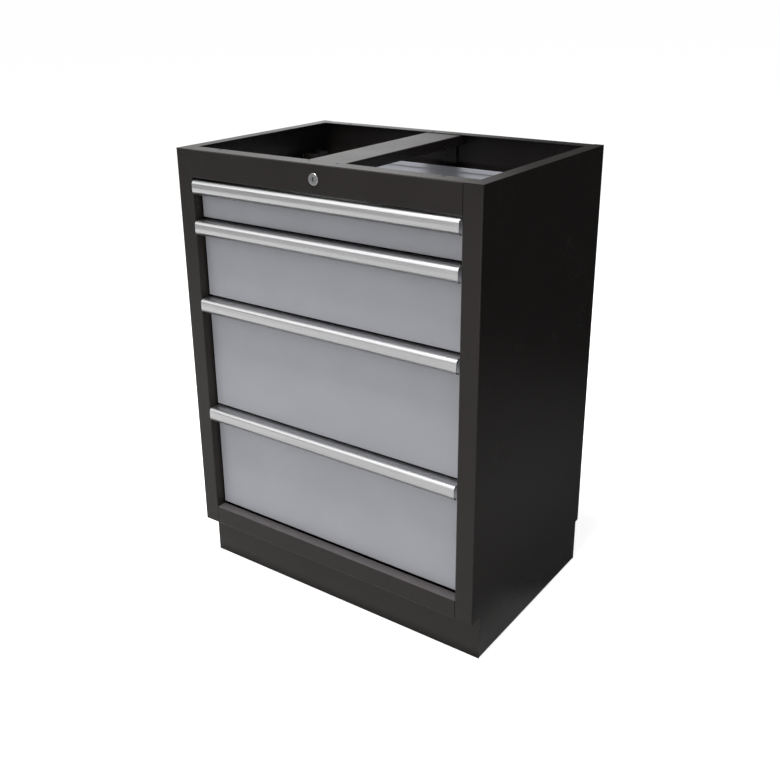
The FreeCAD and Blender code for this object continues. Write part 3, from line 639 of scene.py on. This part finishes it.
def dark_beside(tree, x, y):
    """The dark part to the right of the cabinet and behind it."""
    leaning = math_node(tree, "MULTIPLY", math_node(tree, "MAXIMUM", y, 0), DARK_LEAN)
    to_right = spread(tree, math_node(tree, "ADD", x, leaning), 0, 1, *DARK_FROM)
    return math_node(tree, "MULTIPLY", to_right, spread(tree, y, 0, 1, *DARK_BEHIND))


def dim_ahead(tree, x, y):
    """The dimming in front, which grows with distance and fades to the left."""
    ahead = spread(tree, y, *DIM_AHEAD["share"], *DIM_AHEAD["from"])
    to_left = spread(tree, x, *DIM_TO_LEFT["share"], *DIM_TO_LEFT["from"])
    past_foot = spread(tree, y, 0, 1, *FOOT)
    return math_node(tree, "MULTIPLY", math_node(tree, "MULTIPLY", past_foot, to_left), ahead)


def dark_share(tree):
    """How far glossy rays see the floor darkened."""
    where = add(tree, "ShaderNodeSeparateXYZ", Vector=place(tree))
    x, y = where.outputs["X"], where.outputs["Y"]
    share = math_node(tree, "MAXIMUM", dark_beside(tree, x, y), dim_ahead(tree, x, y))
    return math_node(tree, "MULTIPLY", add(tree, "ShaderNodeLightPath").outputs["Is Glossy Ray"], share)


print("the front sees the floor dimmed by", DIM_AHEAD["share"], "and a dark part from x =", DARK_FROM[0])

# %% The floor
FLOOR_GLOW = 0.80
FLOOR_HALF = 200.0
FLOOR_GRAIN = 30.0
FLOOR_PAINT = {"dark": (0.86, 0.86, 0.86), "light": (0.88, 0.88, 0.88)}
DARK_GLOW = {"from": (0.4, 1.4), "glow": (0.19, 0.02)}  # what is left of the white in the dark part, on Y
CLOSE_BY = {"from": (0.42, 0.62), "share": (0.50, 1)}  # and less of it close to the side panel, on X


def dark_floor(tree):
    where = add(tree, "ShaderNodeSeparateXYZ", Vector=place(tree))
    glow = spread(tree, where.outputs["Y"], *DARK_GLOW["glow"], *DARK_GLOW["from"])
    close = spread(tree, where.outputs["X"], *CLOSE_BY["share"], *CLOSE_BY["from"])
    left_over = math_node(tree, "MULTIPLY", glow, close)
    return add(tree, "ShaderNodeEmission", Color=(1, 1, 1, 1), Strength=left_over)


def pale_floor():
    material, tree, shader = new_material("studio_floor")
    tree.nodes.remove(shader)
    grain = noise(tree, place(tree), FLOOR_GRAIN)
    base = add(tree, "ShaderNodeBsdfDiffuse", Color=tint(tree, grain, **FLOOR_PAINT))
    glow = add(tree, "ShaderNodeEmission", Color=(1, 1, 1, 1))
    tree.links.new(spread(tree, seen_directly(tree, FLOOR_MIRRORED), 0, FLOOR_GLOW), glow.inputs["Strength"])
    pale = add(tree, "ShaderNodeAddShader")
    tree.links.new(base.outputs[0], pale.inputs[0])
    tree.links.new(glow.outputs[0], pale.inputs[1])
    both = add(tree, "ShaderNodeMixShader", Fac=dark_share(tree))
    tree.links.new(pale.outputs[0], both.inputs[1])
    tree.links.new(dark_floor(tree).outputs[0], both.inputs[2])
    tree.links.new(both.outputs[0], tree.nodes["Material Output"].inputs["Surface"])
    return material


floor_mesh = bpy.data.meshes.new("studio_floor")
corners = [(x * FLOOR_HALF, y * FLOOR_HALF, 0) for x, y in ((-1, -1), (1, -1), (1, 1), (-1, 1))]
floor_mesh.from_pydata(corners, [], [(0, 1, 2, 3)])
floor_mesh.materials.append(pale_floor())
studio_floor = put_in_scene("studio_floor", floor_mesh)
print("floor:", 2 * FLOOR_HALF, "m wide")

# %% [markdown]
# The rim and the brace lie level, so the camera sees them at a grazing angle, at which even black paint
# mirrors strongly. In the photograph the left-hand rim is pale and the right-hand one much darker. The sky
# that they mirror is made up to give that: a pale wall that dims to the left, with a dark opening behind on
# the right and a dim ceiling.

# %% World
FILL = 0.22  # the light that reaches things from all round
WALL = {"from": (-0.63, -0.76), "glow": (0.92, 0.42)}  # on the X of the direction looked in
CEILING = {"from": (0.30, 0.55), "share": (1, 0.35)}  # on its Z
OPENING = {"x": (-0.56, -0.45), "y": (-0.3, 0.3), "glow": 0.06}  # on its X and Y


def mirrored_sky(tree):
    """What reflections see of the studio: a pale wall, a dark opening behind on the right, a dim ceiling."""
    direction = add(tree, "ShaderNodeTexCoord").outputs["Generated"]
    where = add(tree, "ShaderNodeSeparateXYZ", Vector=direction)
    x, y, z = (where.outputs[axis] for axis in "XYZ")
    to_right = spread(tree, x, 0, 1, *OPENING["x"])
    opening = math_node(tree, "MULTIPLY", to_right, spread(tree, y, 0, 1, *OPENING["y"]))
    dimmed = spread(tree, z, *CEILING["share"], *CEILING["from"])
    wall = math_node(tree, "MULTIPLY", spread(tree, x, *WALL["glow"], *WALL["from"]), dimmed)
    kept = math_node(tree, "MULTIPLY", wall, math_node(tree, "SUBTRACT", 1, opening))
    return math_node(tree, "ADD", kept, math_node(tree, "MULTIPLY", opening, OPENING["glow"]))


world = bpy.data.worlds.new("studio_world")
world.use_nodes = True
sky_tree = world.node_tree
looked_at = seen_directly(sky_tree, mirrored_sky(sky_tree))
scattered = math_node(sky_tree, "SUBTRACT", 1, seen_directly(sky_tree, 1))
strength = math_node(sky_tree, "ADD", looked_at, math_node(sky_tree, "MULTIPLY", scattered, FILL))
sky = sky_tree.nodes["Background"]
sky.inputs["Color"].default_value = (1, 1, 1, 1)
sky_tree.links.new(strength, sky.inputs["Strength"])
bpy.context.scene.world = world
print("brightness in reflections: wall", WALL["glow"], "opening", OPENING["glow"])

# %% [markdown]
# Three soft lamps light the cabinet. The key is large and stands high in front, to the left, so that each
# grip shades the top of its drawer and the front below it grows lighter. A smaller one high above throws the
# shadow of the brace into the top drawer. A weak, low one in front opens the shadows. Where the real lamps
# stood isn't known: these were placed until the tones agreed.

# %% Lamps
def soft_lamp(name, stand, aim, width, height, power):
    data = bpy.data.lights.new(name, "AREA")
    data.shape = "RECTANGLE"
    data.size = width
    data.size_y = height
    data.energy = power
    lamp = put_in_scene(name, data)
    lamp.location = stand
    lamp.rotation_euler = (Vector(aim) - Vector(stand)).to_track_quat("-Z", "Y").to_euler()


soft_lamp("key_lamp", stand=(-0.8, -2.0, 2.7), aim=(0, 0, 0.6), width=4.0, height=3.2, power=57.0)
soft_lamp("low_lamp", stand=(0.15, -1.9, 0.28), aim=(0, -0.2, 0.28), width=0.8, height=0.4, power=3.8)
soft_lamp("top_lamp", stand=(0, -0.6, 3.2), aim=(0, 0.1, 0.85), width=0.8, height=0.8, power=108.0)
print("lamps:", [light.name for light in bpy.data.lights])

# %% [markdown]
# ## Last setting
#
# The picture is shown with the Standard view transform. The visual model must stay inside the CAD
# model's box.

# %% View transform
bpy.context.scene.view_settings.view_transform = "Standard"
